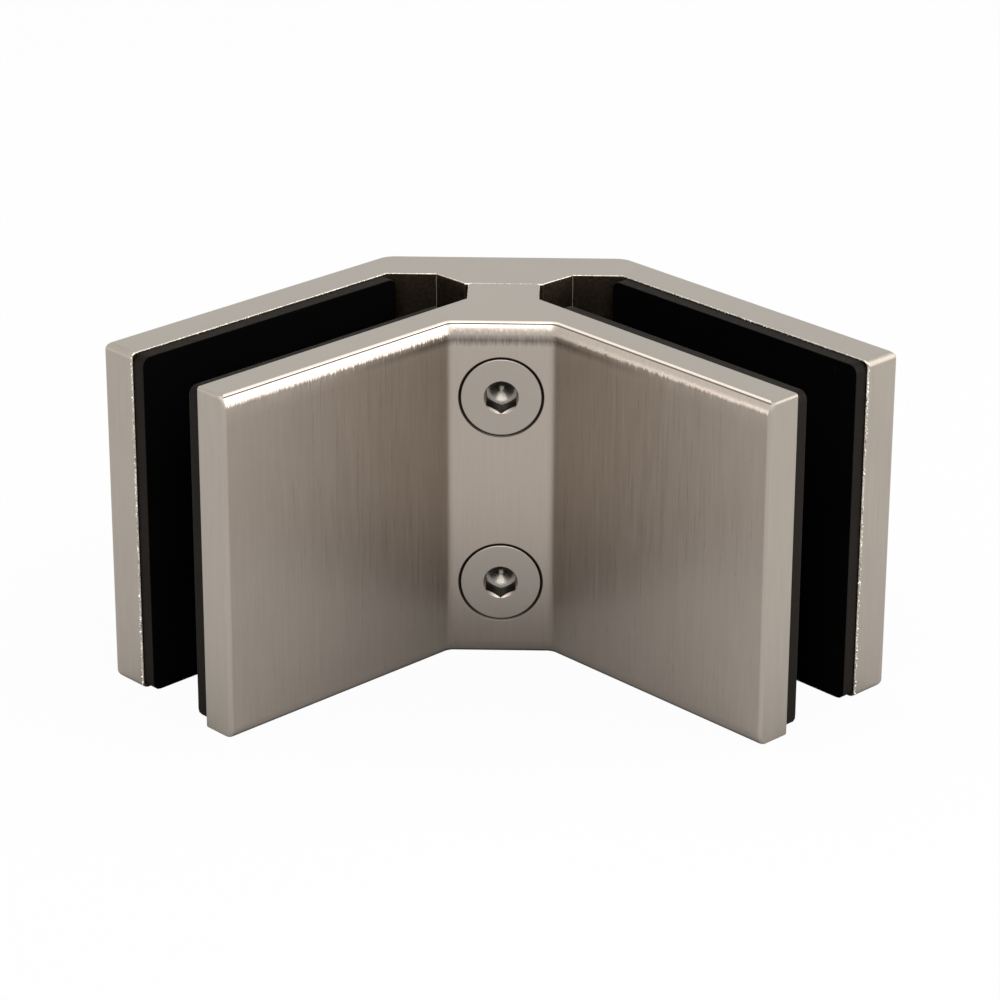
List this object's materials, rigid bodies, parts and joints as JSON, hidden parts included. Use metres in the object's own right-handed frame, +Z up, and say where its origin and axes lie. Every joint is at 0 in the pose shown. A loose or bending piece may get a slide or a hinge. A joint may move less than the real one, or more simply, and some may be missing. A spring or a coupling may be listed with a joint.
{
  "type": "glass panel clamp",
  "caption": "Corner clamp for glass panels: a folded rear plate and front plate with rubber-lined slots, drawn together by countersunk socket screws.",
  "frame": {"origin": "under the middle of the clamp's box, level with the plates' lower edges", "axes": "+Z up along the folds, +Y out of the corner towards the rear plate, +X to the right as seen from the front plate"},
  "size_m": [0.1068, 0.0558, 0.05],
  "materials": {
    "plate_metal": "warm satin nickel, brushed upright on the faces",
    "screw_metal": "fine satin, faced flat with the plate",
    "rubber": "matt black sheet rubber with cut edges"
  },
  "bodies": {
    "rear_half": {"rear_plate": "plate_metal", "rear_left_gasket": "rubber", "rear_right_gasket": "rubber"},
    "front_half": {"front_plate": "plate_metal", "front_left_gasket": "rubber", "front_right_gasket": "rubber"},
    "upper_screw": {"upper_screw": "screw_metal"},
    "lower_screw": {"lower_screw": "screw_metal"}
  },
  "joints": [
    {"name": "clamp_travel", "type": "slide", "parent": "rear_half", "child": "front_half", "axis": [0, -1, 0], "range_m": [0, 0.006]},
    {"name": "upper_screw_turn", "type": "hinge", "parent": "front_half", "child": "upper_screw", "pos_m": [0, 0.00055, 0.039], "axis": [0, -1, 0], "range_deg": [0, 2160]},
    {"name": "lower_screw_turn", "type": "hinge", "parent": "front_half", "child": "lower_screw", "pos_m": [0, 0.00055, 0.011], "axis": [0, -1, 0], "range_deg": [0, 2160]}
  ],
  "couplings": [
    {"joint": "upper_screw_turn", "follows": "clamp_travel", "rad_per_m": 6283.2},
    {"joint": "lower_screw_turn", "follows": "clamp_travel", "rad_per_m": 6283.2}
  ]
}
